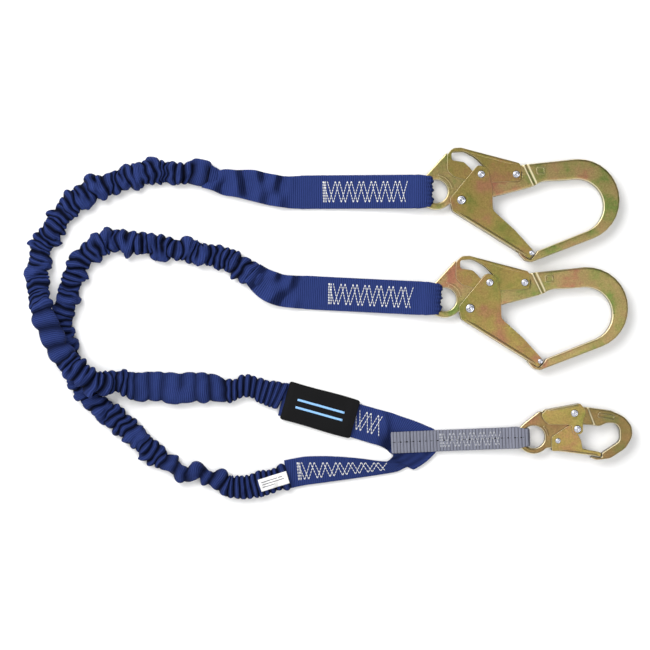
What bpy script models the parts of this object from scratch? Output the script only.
"""Twin-leg shock absorbing lanyard, modelled as it lies on a flat surface.

Two elastic legs of blue webbing each end in a large forged rebar hook.  The legs
meet in one bight of flat webbing, and a short grey strap ties that bight to a
snap hook.  +X runs towards the hooks, +Y across the legs and +Z up from the
surface.  The origin is below the middle of the hooks and flat webs.  Lengths
below are in millimetres and become metres when a mesh is made.
"""
import math

import bmesh
import bpy
from mathutils import Vector

MM = 0.001

# ---- Driving dimensions, millimetres -------------------------------------
GAP = 0.3                  # clearance between touching pieces
HOOK_PLANE = 11.0          # height of the hooks' middle plane
WEB_WIDTH = 40.0           # blue leg webbing
WEB_THICK = 2.2
STRAP_WIDTH = 25.4         # grey connector webbing
STRAP_THICK = 2.5
SLEEVE_WIDTH = 36.0        # gathered sleeve, a flat oval
SLEEVE_HEIGHT = 18.0
SLEEVE_WALL = 2.0
CORE_DIAMETER = 9.0        # elastic and shock absorbing core
SLEEVE_STEP = 30.0         # spacing of the points along a sleeve

HOOK_A_EYE = (1.2, 151.6)
HOOK_B_EYE = (11.4, 23.3)
SNAP_EYE = (117.1, -140.2)
HOOK_B_WEB_TILT = -2.9     # degrees that leg B's end web turns from +X
STRAP_TILT = 2.5           # degrees that the grey strap turns from +X

BODY_HALF = 4.75           # half thickness of a forged body where plates cover it
BOW_HALF = 6.5             # half thickness of the bow
PLATE = 1.6                # thickness of a gate or lever plate
INNER_PLATES = 5.1         # inside face of the pair of plates next to the body
OUTER_PLATES = 7.1         # inside face of the outer pair of plates
POCKET_FLOOR = 2.2         # floor of the pocket that holds a spring
RIVET_SIDES = 12

SEAM_START = -133.0        # where an end web's return layer stops, from the eye
SEAM_LOW = 3.0             # height between the web's two layers there
EYE_BAR_LEFT = -22.0       # left side of an eye's bar, from the eye
EYE_BAR_HALF = 5.25        # half height that a webbing loop leaves around the bar
WEB_BEND = -4.0            # outside of the blue loop's bend inside the eye
STRAP_BEND = -4.5          # outside of the grey loop's bend inside the eye
WEB_NECK = (30.0, 22.0)    # web width beside the bar and inside the eye
STRAP_NECK = 21.0          # strap width inside the eye
STRAP_END = -169.4         # left outside of the grey strap, from the snap hook's eye
STRAP_SEAM = -113.5        # where the strap leaves the bight, from the same point
STRAP_SEWN = (-108.0, 5.2)  # place and height where its two layers meet

CENTRE_LOW = 3.0           # underside of the flat web where the legs meet
CENTRE_THICK = 2.4

# Route of each leg's sleeve, from its hook end to the middle: x, y, height.
LEG_A_ROUTE = [
    (-241, 160, 9), (-267, 167, 9), (-294, 172.5, 9), (-315, 175, 9), (-338, 174, 9),
    (-367, 165.5, 9), (-391, 158, 9), (-413, 150, 9), (-434, 134.5, 9), (-452, 115.5, 9),
    (-465.5, 91.5, 9), (-474, 64, 11), (-472.5, 37, 18), (-464, 12, 26.5), (-455.5, -13, 28.5),
    (-446, -37, 29), (-432, -56, 29), (-410.5, -72, 28), (-391, -76.5, 24),
    (-372, -77, 17), (-353, -79, 11), (-333, -80, 9), (-309, -81.5, 9), (-285, -83.5, 9),
    (-261.5, -82, 9), (-238, -81, 9), (-216, -82.5, 9), (-195, -88, 9), (-180.5, -94.4, 9)]
LEG_B_ROUTE = [
    (-175, 32.4, 9), (-186, 33.5, 9), (-200, 40.5, 9), (-217, 53.5, 9), (-234, 65, 9),
    (-253, 73, 9), (-279, 77.5, 9), (-303, 82, 9), (-321, 84, 9), (-342.5, 88.5, 9),
    (-363, 92, 9), (-378, 92.5, 9), (-397, 87, 9), (-415, 75.5, 9), (-428, 58, 9),
    (-435, 38, 9), (-440, 19, 9), (-443.5, -1, 9), (-442.5, -22.5, 9), (-436.5, -44, 9),
    (-428, -64, 9), (-414, -85.5, 9), (-393.5, -108.5, 9), (-372, -127.5, 9),
    (-352, -146, 9), (-330.5, -163, 9), (-312.5, -177.5, 9), (-295, -183, 9),
    (-278, -182.5, 9), (-261.5, -190.5, 9), (-246, -200, 9), (-227, -200.5, 9),
    (-209, -197, 9), (-193.5, -193.4, 9), (-177, -188.5, 9)]

# Flat stretch of each leg between its sleeve and its seam.
LEG_A_LEAD = [(-234, 158.4, 7), (-215, 156, 3.2), (-180, 152.6, 2.6), (-155, 151.8, 3)]
LEG_B_LEAD = [(-169.5, 32.4, 6), (-153, 31.7, 3.4)]

# Flat web where the legs meet, seen from above: corners x, y.
CENTRE_OUTLINE = [
    (-173.7, -77.6), (-41.4, -114.8), (0.2, -131.6), (2.4, -157.7), (-25.9, -179.9),
    (-30.7, -176.6), (-54.1, -184.0), (-105.2, -191.6), (-153.1, -198.4), (-169.5, -203.5),
    (-178.8, -169.6), (-129.0, -163.5), (-88.2, -166.1), (-60.0, -169.5), (-47.8, -163.0),
    (-47.8, -134.0), (-53.6, -134.0), (-53.6, -157.0), (-71.2, -149.9), (-87.9, -142.2),
    (-184.2, -115.1)]
COVER_CENTRE = (-136.6, -108.3)     # black cover around that web
COVER_TILT = -15.7
COVER_SIZE = (87.0, 46.0, 7.4)
COVER_BORE = (41.0, 3.2)
CARE_LABEL_CENTRE = (-192.0, -193.2)
CARE_LABEL_TILT = 16.0
CARE_LABEL_SIZE = (35.0, 15.0, 0.6)

# Rebar hook, in its own frame: origin at the eye, +X towards the bow.
REBAR = {
    "eye": (13.8, 21.9),
    "gate_pivot": (30.0, -10.6),
    "lever_pivot": (95.0, 20.0),
    "lock_pin": (53.3, 20.0),
    "nose_pin": (113.1, -73.2),
    "gate_shaft": 3.0,
    "lever_shaft": 2.6,
    "lock_shaft": 2.4,
    "nose_shaft": 1.8,
    "lever_pocket": 6.4,
    "gate_spring": (4.2, 6.8, 1.6, 5.95, 1.1),    # inner, outer, turns, height, wire
    "lever_spring": (3.8, 5.4, 1.6, 3.6, 0.9),
}
# Snap hook, in its own frame.
SNAP = {
    "eye": (13.4, 20.0),
    "gate_pivot": (28.5, -4.2),
    "lever_pivot": (48.0, 28.5),
    "lock_pin": (51.6, 9.8),
    "gate_shaft": 2.0,
    "lever_shaft": 2.0,
    "lock_shaft": 2.6,
    "gate_pocket": 6.2,
    "lever_pocket": 4.3,
    "gate_spring": (3.2, 5.2, 1.6, 3.6, 0.9),
    "lever_spring": (2.9, 3.6, 0.9, 3.6, 0.7),
}


# ---- Outlines ---------------------------------------------------------------
def arc(cx, cy, radius, start, end, step=12.0):
    """Points on an arc, in degrees, about one every step."""
    count = max(2, round(abs(end - start) / step))
    angles = [math.radians(start + (end - start) * i / count) for i in range(count + 1)]
    return [(cx + radius * math.cos(a), cy + radius * math.sin(a)) for a in angles]


def rounded(corners, step=18.0):
    """Outline through corners (x, y) or (x, y, radius), each radius an arc."""
    outline = []
    for i, corner in enumerate(corners):
        x, y = corner[:2]
        radius = corner[2] if len(corner) == 3 else 0.0
        if radius == 0.0:
            outline.append((x, y))
            continue
        here = Vector((x, y))
        before = (Vector(corners[i - 1][:2]) - here).normalized()
        after = (Vector(corners[(i + 1) % len(corners)][:2]) - here).normalized()
        half = before.angle(after) / 2
        centre = here + (before + after).normalized() * (radius / math.sin(half))
        first = here + before * (radius / math.tan(half)) - centre
        last = here + after * (radius / math.tan(half)) - centre
        start = math.degrees(math.atan2(first.y, first.x))
        turn = math.degrees(math.atan2(last.y, last.x)) - start
        turn = (turn + 180.0) % 360.0 - 180.0
        count = max(1, round(abs(turn) / step))
        for k in range(count + 1):
            a = math.radians(start + turn * k / count)
            outline.append((centre.x + radius * math.cos(a), centre.y + radius * math.sin(a)))
    return outline


def circle(centre, radius, sides=20):
    """Outline of a round hole."""
    return arc(centre[0], centre[1], radius, 0, 360 - 360 / sides, 360 / sides)


# ---- Mesh and object helpers ------------------------------------------------
def material(name, colour, roughness, metallic=0.0):
    """Principled material in one colour."""
    made = bpy.data.materials.new(name)
    made.use_nodes = True
    shader = made.node_tree.nodes["Principled BSDF"]
    shader.inputs["Base Color"].default_value = (*colour, 1.0)
    shader.inputs["Roughness"].default_value = roughness
    shader.inputs["Metallic"].default_value = metallic
    return made


def empty(name, location, parent=None, tilt=0.0):
    """Empty at a location in millimetres, turned about +Z by tilt degrees."""
    made = bpy.data.objects.new(name, None)
    made.location = Vector(location) * MM
    made.rotation_euler = (0.0, 0.0, math.radians(tilt))
    made.parent = parent
    bpy.context.collection.objects.link(made)
    return made


def add_object(name, bm, finish, parent=None):
    """Object from a bmesh, shaded smooth except at its sharp edges."""
    bmesh.ops.recalc_face_normals(bm, faces=bm.faces[:])
    mesh = bpy.data.meshes.new(name)
    bm.to_mesh(mesh)
    bm.free()
    mesh.shade_smooth()
    mesh.set_sharp_from_angle(angle=math.radians(35))
    mesh.materials.append(finish)
    made = bpy.data.objects.new(name, mesh)
    made.parent = parent
    bpy.context.collection.objects.link(made)
    return made


def prism(outline, low, high, holes=(), about=(0.0, 0.0)):
    """Plate from low to high, with holes, measured from the point about."""
    bm = bmesh.new()
    for loop in (outline, *holes):
        corners = [bm.verts.new(Vector((x - about[0], y - about[1], low)) * MM) for x, y in loop]
        for a, b in zip(corners, corners[1:] + corners[:1]):
            bm.edges.new((a, b))
    bmesh.ops.triangle_fill(bm, use_beauty=True, use_dissolve=False, edges=bm.edges[:])
    raised = bmesh.ops.extrude_face_region(bm, geom=bm.faces[:])
    top = [item for item in raised["geom"] if isinstance(item, bmesh.types.BMVert)]
    bmesh.ops.translate(bm, vec=(0.0, 0.0, (high - low) * MM), verts=top)
    return bm


def combine(target, name, bm, operation):
    """Cut a shape from target, or join one to it, with an exact Boolean."""
    helper = add_object(name, bm, target.data.materials[0], target.parent)
    helper.hide_render = True
    helper.display_type = "WIRE"
    modifier = target.modifiers.new(name, "BOOLEAN")
    modifier.operation = operation
    modifier.object = helper


def turned(profile, sides):
    """Round solid from a profile of (radius, height) that starts and ends on the axis."""
    bm = bmesh.new()
    points = [bm.verts.new((radius * MM, 0.0, height * MM)) for radius, height in profile]
    edges = [bm.edges.new(pair) for pair in zip(points, points[1:])]
    bmesh.ops.spin(bm, geom=points + edges, axis=(0, 0, 1), cent=(0, 0, 0),
                   steps=sides, angle=math.tau, use_merge=True)
    bmesh.ops.remove_doubles(bm, verts=bm.verts[:], dist=0.01 * MM)
    return bm


def rivet(name, shaft, head, grip, rise, parent, finish):
    """Rivet with a domed head on each side, clear of the plates that it holds."""
    seat = grip + GAP
    dome = [(head, seat), (head, seat + 0.25 * rise), (0.8 * head, seat + 0.7 * rise),
            (0.42 * head, seat + rise), (0.0, seat + rise)]
    upper = [(shaft, seat), *dome]
    lower = [(radius, -height) for radius, height in reversed(upper)]
    return add_object(name, turned(lower + upper, RIVET_SIDES), finish, parent)


def band(name, path, side, widths, thick, finish, closed=False):
    """Flat webbing along a path of (x, y, z), its width along the side direction."""
    bm = bmesh.new()
    side = Vector(side).normalized()
    count = len(path)
    rings = []
    for i, point in enumerate(path):
        ahead = path[(i + 1) % count] if closed or i + 1 < count else path[i]
        behind = path[i - 1] if closed or i > 0 else path[i]
        along = (Vector(ahead) - Vector(behind)).normalized()
        normal = along.cross(side).normalized() * (thick / 2)
        across = side * (widths[i] / 2)
        offsets = (across + normal, normal - across, -across - normal, across - normal)
        rings.append([bm.verts.new((Vector(point) + offset) * MM) for offset in offsets])
    pairs = list(zip(rings, rings[1:]))
    if closed:
        pairs.append((rings[-1], rings[0]))
    for near, far in pairs:
        for k in range(4):
            bm.faces.new((near[k], near[(k + 1) % 4], far[(k + 1) % 4], far[k]))
    if not closed:
        bm.faces.new(rings[0])
        bm.faces.new(rings[-1])
    return add_object(name, bm, finish)


def smooth_route(route, step):
    """Points about one step apart on a Catmull-Rom curve through the route."""
    points = [Vector(p) for p in route]
    padded = [2 * points[0] - points[1], *points, 2 * points[-1] - points[-2]]
    fine = []
    for a, b, c, d in zip(padded, padded[1:], padded[2:], padded[3:]):
        for k in range(12):
            t = k / 12
            fine.append(0.5 * (2 * b + (c - a) * t + (2 * a - 5 * b + 4 * c - d) * t ** 2
                               + (3 * b - a - 3 * c + d) * t ** 3))
    fine.append(points[-1])
    lengths = [0.0]
    for a, b in zip(fine, fine[1:]):
        lengths.append(lengths[-1] + (b - a).length)
    count = round(lengths[-1] / step)
    even = []
    j = 0
    for i in range(count + 1):
        reach = lengths[-1] * i / count
        while j + 2 < len(lengths) and lengths[j + 1] < reach:
            j += 1
        share = (reach - lengths[j]) / (lengths[j + 1] - lengths[j])
        even.append(fine[j].lerp(fine[j + 1], min(share, 1.0)))
    return even


def tube(name, points, finish, depth, parent=None):
    """Tube along points, as a curve with filled caps."""
    curve = bpy.data.curves.new(name, "CURVE")
    curve.dimensions = "3D"
    curve.twist_mode = "Z_UP"
    curve.bevel_depth = depth * MM
    curve.bevel_resolution = 2
    curve.use_fill_caps = True
    spline = curve.splines.new("POLY")
    spline.points.add(len(points) - 1)
    for target, point in zip(spline.points, points):
        target.co = (*(Vector(point) * MM), 1.0)
    curve.materials.append(finish)
    made = bpy.data.objects.new(name, curve)
    made.parent = parent
    bpy.context.collection.objects.link(made)
    return made


# ---- Webbing ----------------------------------------------------------------
def sleeve_profile():
    """Flat oval that the sleeves are swept with; a guide, not a piece."""
    curve = bpy.data.curves.new("sleeve_profile", "CURVE")
    curve.dimensions = "2D"
    spline = curve.splines.new("POLY")
    outline = circle((0.0, 0.0), 1.0, 12)[::-1]
    spline.points.add(len(outline) - 1)
    for target, (x, y) in zip(spline.points, outline):
        target.co = (x * SLEEVE_WIDTH / 2 * MM, y * SLEEVE_HEIGHT / 2 * MM, 0.0, 1.0)
    spline.use_cyclic_u = True
    guide = bpy.data.objects.new("sleeve_profile", curve)
    guide.hide_render = True
    guide.display_type = "WIRE"
    bpy.context.collection.objects.link(guide)
    return guide


def elastic_leg(leg, route, profile, sleeve_finish, core_finish):
    """Gathered tubular sleeve, and the core that runs through it."""
    points = smooth_route(route, SLEEVE_STEP)
    sleeve = tube(leg + "_elastic_sleeve", points, sleeve_finish, 0.0)
    sleeve.data.bevel_mode = "OBJECT"
    sleeve.data.bevel_object = profile
    sleeve.data.use_fill_caps = False
    wall = sleeve.modifiers.new("wall", "SOLIDIFY")
    wall.thickness = SLEEVE_WALL * MM
    wall.offset = -1.0
    tube(leg + "_shock_core", points, core_finish, CORE_DIAMETER / 2)


def eye_loop(reach, thick, bar_left, stack, inner_half):
    """Path (x, z) of a webbing loop around an eye's bar, from its top to its underside.

    reach is the outside of the bend, bar_left where the layers part, stack how far
    each layer lies from the middle where they are sewn together.
    """
    corner = 3.0
    rise = inner_half + thick / 2
    bend = reach - thick / 2 - corner
    quarter = [(bend + x, rise - corner + z) for x, z in arc(0, 0, corner, 90, 0, 30)]
    top = [(bar_left - 12.0, stack), (bar_left - 5.0, 0.6 * rise), (bar_left, rise), *quarter]
    return top + [(x, -z) for x, z in reversed(top)]


def direction(tilt):
    """Unit vector in the surface's plane, tilt degrees from +X."""
    return Vector((math.cos(math.radians(tilt)), math.sin(math.radians(tilt)), 0.0))


def hook_web(name, eye, tilt, lead, finish):
    """End web of a leg: in from the sleeve, round the hook's eye and back to its seam."""
    stack = WEB_THICK / 2 + GAP / 2
    loop = eye_loop(WEB_BEND, WEB_THICK, EYE_BAR_LEFT, stack, EYE_BAR_HALF)
    forward = direction(tilt)
    side = Vector((-forward.y, forward.x, 0.0))
    centre = Vector((*eye, 0.0))
    section = [(SEAM_START, SEAM_LOW + stack)]
    section += [(x, HOOK_PLANE + z) for x, z in loop]
    section += [(SEAM_START, SEAM_LOW - stack)]
    path = [Vector(p) for p in lead]
    widths = [WEB_WIDTH] * len(path)
    for x, z in section:
        path.append(centre + forward * x + Vector((0.0, 0.0, z)))
        if x < EYE_BAR_LEFT + 1.0:
            widths.append(WEB_WIDTH)
        else:
            widths.append(WEB_NECK[0] if x < -12.0 else WEB_NECK[1])
    return band(name, path, side, widths, WEB_THICK, finish)


def connector_strap(finish):
    """Grey strap: one endless band round the blue bight and round the snap hook's eye."""
    stack = STRAP_THICK / 2 + GAP / 2
    middle = CENTRE_LOW + CENTRE_THICK / 2
    rise = CENTRE_THICK / 2 + GAP + STRAP_THICK / 2
    left_bend = STRAP_END + STRAP_THICK / 2 + rise
    sewn_x, sewn_z = STRAP_SEWN
    loop = eye_loop(STRAP_BEND, STRAP_THICK, EYE_BAR_LEFT, stack, EYE_BAR_HALF)
    section = [(left_bend, middle + rise), (STRAP_SEAM, middle + rise), (sewn_x, sewn_z + stack)]
    section += [(x, HOOK_PLANE + z) for x, z in loop]
    section += [(sewn_x, sewn_z - stack), (STRAP_SEAM, middle - rise), (left_bend, middle - rise)]
    section += arc(left_bend, middle, rise, 270, 90, 30)[1:-1]
    forward = direction(STRAP_TILT)
    centre = Vector((*SNAP_EYE, 0.0))
    path = [centre + forward * x + Vector((0.0, 0.0, z)) for x, z in section]
    widths = [STRAP_WIDTH if x < -12.0 else STRAP_NECK for x, z in section]
    side = (-forward.y, forward.x, 0.0)
    return band("connector_strap", path, side, widths, STRAP_THICK, finish, closed=True)


def rectangle(length, width):
    """Corners of a rectangle about the origin."""
    return [(-length / 2, -width / 2), (length / 2, -width / 2),
            (length / 2, width / 2), (-length / 2, width / 2)]


def label_cover(finish):
    """Black cover: a flattened tube around the upper web."""
    length, width, height = COVER_SIZE
    bore_width, bore_height = COVER_BORE
    middle = CENTRE_LOW + CENTRE_THICK / 2
    frame = empty("label_cover_place", (*COVER_CENTRE, middle), tilt=COVER_TILT)
    corner = 2.4
    half = height / 2
    outside = rounded([(-width / 2, -half, corner), (width / 2, -half, corner),
                       (width / 2, half, corner), (-width / 2, half, corner)], 30)
    inside = rectangle(bore_width, bore_height)
    bm = prism(outside, -length / 2, length / 2, [inside])
    for vertex in bm.verts:
        vertex.co = (vertex.co.z, vertex.co.x, vertex.co.y)
    return add_object("label_cover", bm, finish, frame)


def care_label(finish):
    """Small white label on the end of leg B's sleeve."""
    length, width, height = CARE_LABEL_SIZE
    frame = empty("care_label_place", (*CARE_LABEL_CENTRE, SLEEVE_HEIGHT + GAP), tilt=CARE_LABEL_TILT)
    return add_object("care_label", prism(rectangle(length, width), 0.0, height), finish, frame)


# ---- Hooks ------------------------------------------------------------------
def rebar_outlines():
    """Outlines of a rebar hook: its spine, bow, gate, lever, their pockets and the lever's slot."""
    pivot = REBAR["gate_pivot"]
    spine = rounded([*arc(0, 0, REBAR["eye"][1], 138, 318), (19, -15.4, 3),
                     *arc(*pivot, 8.5, 250, 330, 20),
                     (101, 1.8, 30), (112, 4.7), (118.5, 7.5), (107, 32.0), (61, 26.9, 3),
                     *arc(*pivot, 34.8, 47, 102, 9),
                     (17.5, 33, 4), (13.3, 47.0, 1.0)])
    bow = [*rounded([(0, 0), (115.6, 6.4), (127, 12.2, 14), (150, 12.9)])[1:],
           *arc(167, -17.5, 32, 102, -66),
           (119.6, -70.8), (118.9, -73), (112.6, -80.3), (109.8, -79.1), (98.6, -72.2),
           (97.6, -73.6), (105.2, -82.6), (112.8, -84.4),
           *arc(169, -10.5, 49, -70, 93),
           (103.5, 31.7)]
    gate = rounded([(117.2, -72.8, 1.5), (93, -46, 40), (67, -22.5, 9), (66.4, 8, 30),
                    (61.5, 27.5, 7), (49.5, 31.5, 6), (16.0, -9, 6), (19.5, -23.8, 2),
                    (110.6, -80.4, 1)])
    gate_pocket = [(0, -10), (95, -69), (95, -95), (140, -95), (140, 60), (0, 60)]
    lever = rounded([(101, 12.2, 4), (101, 30, 5), (98, 33.6, 1), (29.5, 51.7, 2), (20, 51.3, 7),
                     (13.1, 44, 7), (13.1, 24, 9), (21, 17, 5), (50, 9.4, 10)])
    lever_pocket = [(0, 0), (115, 0), (115, 60), (96, 60), (96, 32.1), (28.5, 49.9), (28.5, 60),
                    (0, 60)]
    slot = rounded([(18.0, 46.6, 3.5), (33, 47.6, 10), (47, 40, 20), (60, 26.5, 4), (57.3, 16.2, 3),
                    (50.2, 15.4, 3), (39, 28.8, 8), (33, 34.6, 6), (18.4, 36.8, 3)])
    return spine, bow, gate, gate_pocket, lever, lever_pocket, slot


def snap_outlines():
    """Outlines of the snap hook: its spine, bow, gate, lever and their pockets."""
    spine = rounded([*arc(0, 0, SNAP["eye"][1], 128, 318), (18, -13, 2),
                     *arc(*SNAP["gate_pivot"], 8, 250, 320, 20),
                     (45.5, 6, 3), (48, 15.6, 3), (74, 13.5), (67, 35.2), (60, 36.2, 5),
                     (44, 32.6, 4), (30, 27, 5), (14, 21.5, 3), (10.5, 30.8, 1.5), (5.8, 30.1, 2)])
    bow = rounded([(64.0, 35.6), (72.4, 13.6), (76.5, 12.2, 8), (86, 16.6, 6), (102.2, 17.2, 10),
                   (102.2, -4.5, 8), (80.6, -19), (80.9, -24.3), (68.2, -23.0), (67.2, -24.6),
                   (74.5, -27.2, 4), (90.4, -25.6, 12), (109.6, -13, 18), (117.2, 1, 14),
                   (116.6, 13, 12), (107.4, 24.6, 18), (91.8, 31.8, 12)], 12)
    gate = rounded([(79.6, -23, 1), (79.3, -18, 1), (57.6, -14, 3), (56.2, -4.5, 4), (51.2, 5.4, 3),
                    (47.0, 7.6, 3), (45.8, 15, 1), (43.4, 15.5, 1), (20.6, 0.2, 5), (20.8, -8, 5),
                    (21.5, -16.6, 2), (28, -16.4)])
    gate_pocket = [(0, -15.2), (28, -14.8), (86, -22.2), (86, 40), (0, 40)]
    lever = rounded([(58, 3.6, 5), (57.8, 20, 8), (62.5, 31, 8), (54.5, 40, 2), (14.5, 32.6, 1.5),
                     (8.4, 27, 3), (11, 21, 4), (17, 14.9, 5), (44.6, 14.9, 3), (45.2, 3.6, 5)])
    lever_pocket = [(0, -5), (80, -5), (80, 42.7), (14.5, 30.6), (14.5, 60), (0, 60)]
    return spine, bow, gate, gate_pocket, lever, lever_pocket


def channel(name, outline, holes, pocket, inside, parent, about, finish):
    """Folded sheet part: two plates, a distance inside apart from the middle, and their web."""
    outside = inside + PLATE
    made = add_object(name, prism(outline, -outside, outside, holes, about), finish, parent)
    combine(made, name + "_pocket", prism(pocket, -inside, inside, about=about), "DIFFERENCE")
    return made


def flat_spring(name, size, parent, finish):
    """Spiral torsion spring, flat in its pocket; size is inner, outer, turns, height, wire."""
    inner, outer, turns, height, wire = size
    count = round(turns * 14)
    points = []
    for i in range(count + 1):
        angle = math.tau * turns * i / count
        radius = inner + (outer - inner) * i / count
        points.append((radius * math.cos(angle), radius * math.sin(angle), height))
    return tube(name, points, finish, wire / 2, parent)


def forged_body(name, spec, spine, bow, parent, finish):
    """Forged hook body: a thin spine with its eye and spring pockets, joined to a thicker bow."""
    holes = [circle((0.0, 0.0), spec["eye"][0], 30)]
    holes += [circle(spec["gate_pivot"], spec["gate_shaft"] + GAP, RIVET_SIDES)]
    holes += [circle(spec["lever_pivot"], spec["lever_shaft"] + GAP, RIVET_SIDES)]
    made = add_object(name, prism(spine, -BODY_HALF, BODY_HALF, holes), finish, parent)
    combine(made, name + "_bow", prism(bow, -BOW_HALF, BOW_HALF), "UNION")
    for part in ("gate", "lever"):
        if part + "_pocket" in spec:
            outline = circle(spec[part + "_pivot"], spec[part + "_pocket"])
            cutter = prism(outline, POCKET_FLOOR, BODY_HALF + 1.0)
            combine(made, name + "_" + part + "_pocket", cutter, "DIFFERENCE")
    return made


def hole(spec, pivot, shaft):
    """Outline of the clearance hole for a rivet or pin."""
    return circle(spec[pivot], spec[shaft] + GAP, RIVET_SIDES)


def pin_at(name, spec, place, pivot, sizes, parent, finish):
    """Pin with domed heads at a place in the hook's frame, carried by the part on a pivot."""
    shaft, head, rise = sizes
    pin = rivet(name, shaft, head, OUTER_PLATES + PLATE, rise, parent, finish)
    offset = Vector(spec[place]) - Vector(spec[pivot])
    pin.location = Vector((*offset, 0.0)) * MM


def hook_axes(prefix, eye, spec):
    """Empties at a hook's eye, gate pivot and lever pivot."""
    at_eye = empty(prefix + "_eye_axis", (*eye, HOOK_PLANE))
    at_gate = empty(prefix + "_gate_axis", (*spec["gate_pivot"], 0.0), at_eye)
    at_lever = empty(prefix + "_lever_axis", (*spec["lever_pivot"], 0.0), at_eye)
    return at_eye, at_gate, at_lever


def rebar_hook(prefix, eye, finishes):
    """Large hook with a channel gate and a slotted lock lever."""
    steel, rivets, springs = finishes
    spine, bow, gate, gate_pocket, lever, lever_pocket, slot = rebar_outlines()
    at_eye, at_gate, at_lever = hook_axes(prefix, eye, REBAR)
    forged_body(prefix + "_body", REBAR, spine, bow, at_eye, steel)
    gate_holes = [hole(REBAR, "gate_pivot", "gate_shaft"), hole(REBAR, "lock_pin", "lock_shaft"),
                  hole(REBAR, "nose_pin", "nose_shaft")]
    channel(prefix + "_gate", gate, gate_holes, gate_pocket, OUTER_PLATES, at_gate,
            REBAR["gate_pivot"], steel)
    lever_holes = [hole(REBAR, "lever_pivot", "lever_shaft"), slot]
    channel(prefix + "_lock_lever", lever, lever_holes, lever_pocket, INNER_PLATES, at_lever,
            REBAR["lever_pivot"], steel)
    rivet(prefix + "_gate_pivot_rivet", REBAR["gate_shaft"], 5.4, OUTER_PLATES + PLATE, 2.0,
          at_gate, rivets)
    rivet(prefix + "_lever_pivot_rivet", REBAR["lever_shaft"], 4.4, INNER_PLATES + PLATE, 2.0,
          at_lever, rivets)
    pin_at(prefix + "_lock_pin", REBAR, "lock_pin", "gate_pivot", (REBAR["lock_shaft"], 4.4, 1.8),
           at_gate, rivets)
    pin_at(prefix + "_nose_pin", REBAR, "nose_pin", "gate_pivot", (REBAR["nose_shaft"], 3.1, 1.2),
           at_gate, rivets)
    flat_spring(prefix + "_gate_spring", REBAR["gate_spring"], at_gate, springs)
    flat_spring(prefix + "_lever_spring", REBAR["lever_spring"], at_lever, springs)


def snap_hook(prefix, eye, finishes):
    """Small hook with a channel gate inside its lock lever."""
    steel, rivets, springs = finishes
    spine, bow, gate, gate_pocket, lever, lever_pocket = snap_outlines()
    at_eye, at_gate, at_lever = hook_axes(prefix, eye, SNAP)
    forged_body(prefix + "_body", SNAP, spine, bow, at_eye, steel)
    gate_holes = [hole(SNAP, "gate_pivot", "gate_shaft")]
    channel(prefix + "_gate", gate, gate_holes, gate_pocket, INNER_PLATES, at_gate,
            SNAP["gate_pivot"], steel)
    lever_holes = [hole(SNAP, "lever_pivot", "lever_shaft"), hole(SNAP, "lock_pin", "lock_shaft")]
    channel(prefix + "_lock_lever", lever, lever_holes, lever_pocket, OUTER_PLATES, at_lever,
            SNAP["lever_pivot"], steel)
    rivet(prefix + "_gate_pivot_rivet", SNAP["gate_shaft"], 3.2, INNER_PLATES + PLATE, 1.5,
          at_gate, rivets)
    rivet(prefix + "_lever_pivot_rivet", SNAP["lever_shaft"], 4.4, OUTER_PLATES + PLATE, 2.0,
          at_lever, rivets)
    pin_at(prefix + "_lock_pin", SNAP, "lock_pin", "lever_pivot", (SNAP["lock_shaft"], 4.5, 2.0),
           at_lever, rivets)
    flat_spring(prefix + "_gate_spring", SNAP["gate_spring"], at_gate, springs)
    flat_spring(prefix + "_lever_spring", SNAP["lever_spring"], at_lever, springs)


def main():
    """Clear the scene and build every piece."""
    for old in list(bpy.data.objects):
        bpy.data.objects.remove(old, do_unlink=True)

    blue = material("blue_polyester_webbing", (0.03, 0.06, 0.30), 0.8)
    grey = material("grey_polyester_webbing", (0.27, 0.27, 0.32), 0.75)
    elastic = material("elastic_core", (0.75, 0.74, 0.68), 0.8)
    black = material("black_cover_fabric", (0.012, 0.012, 0.012), 0.7)
    white = material("white_label", (0.8, 0.8, 0.8), 0.6)
    zinc = material("yellow_zinc_steel", (0.42, 0.35, 0.13), 0.4, 0.9)
    silver = material("bright_zinc_steel", (0.72, 0.72, 0.74), 0.25, 1.0)
    wire = material("spring_steel", (0.4, 0.4, 0.42), 0.35, 1.0)

    profile = sleeve_profile()
    elastic_leg("leg_a", LEG_A_ROUTE, profile, blue, elastic)
    elastic_leg("leg_b", LEG_B_ROUTE, profile, blue, elastic)
    hook_web("leg_a_hook_web", HOOK_A_EYE, 0.0, LEG_A_LEAD, blue)
    hook_web("leg_b_hook_web", HOOK_B_EYE, HOOK_B_WEB_TILT, LEG_B_LEAD, blue)
    add_object("centre_web", prism(CENTRE_OUTLINE, CENTRE_LOW, CENTRE_LOW + CENTRE_THICK), blue)
    connector_strap(grey)
    label_cover(black)
    care_label(white)

    finishes = (zinc, silver, wire)
    rebar_hook("hook_a", HOOK_A_EYE, finishes)
    rebar_hook("hook_b", HOOK_B_EYE, finishes)
    snap_hook("snap_hook", SNAP_EYE, finishes)


main()
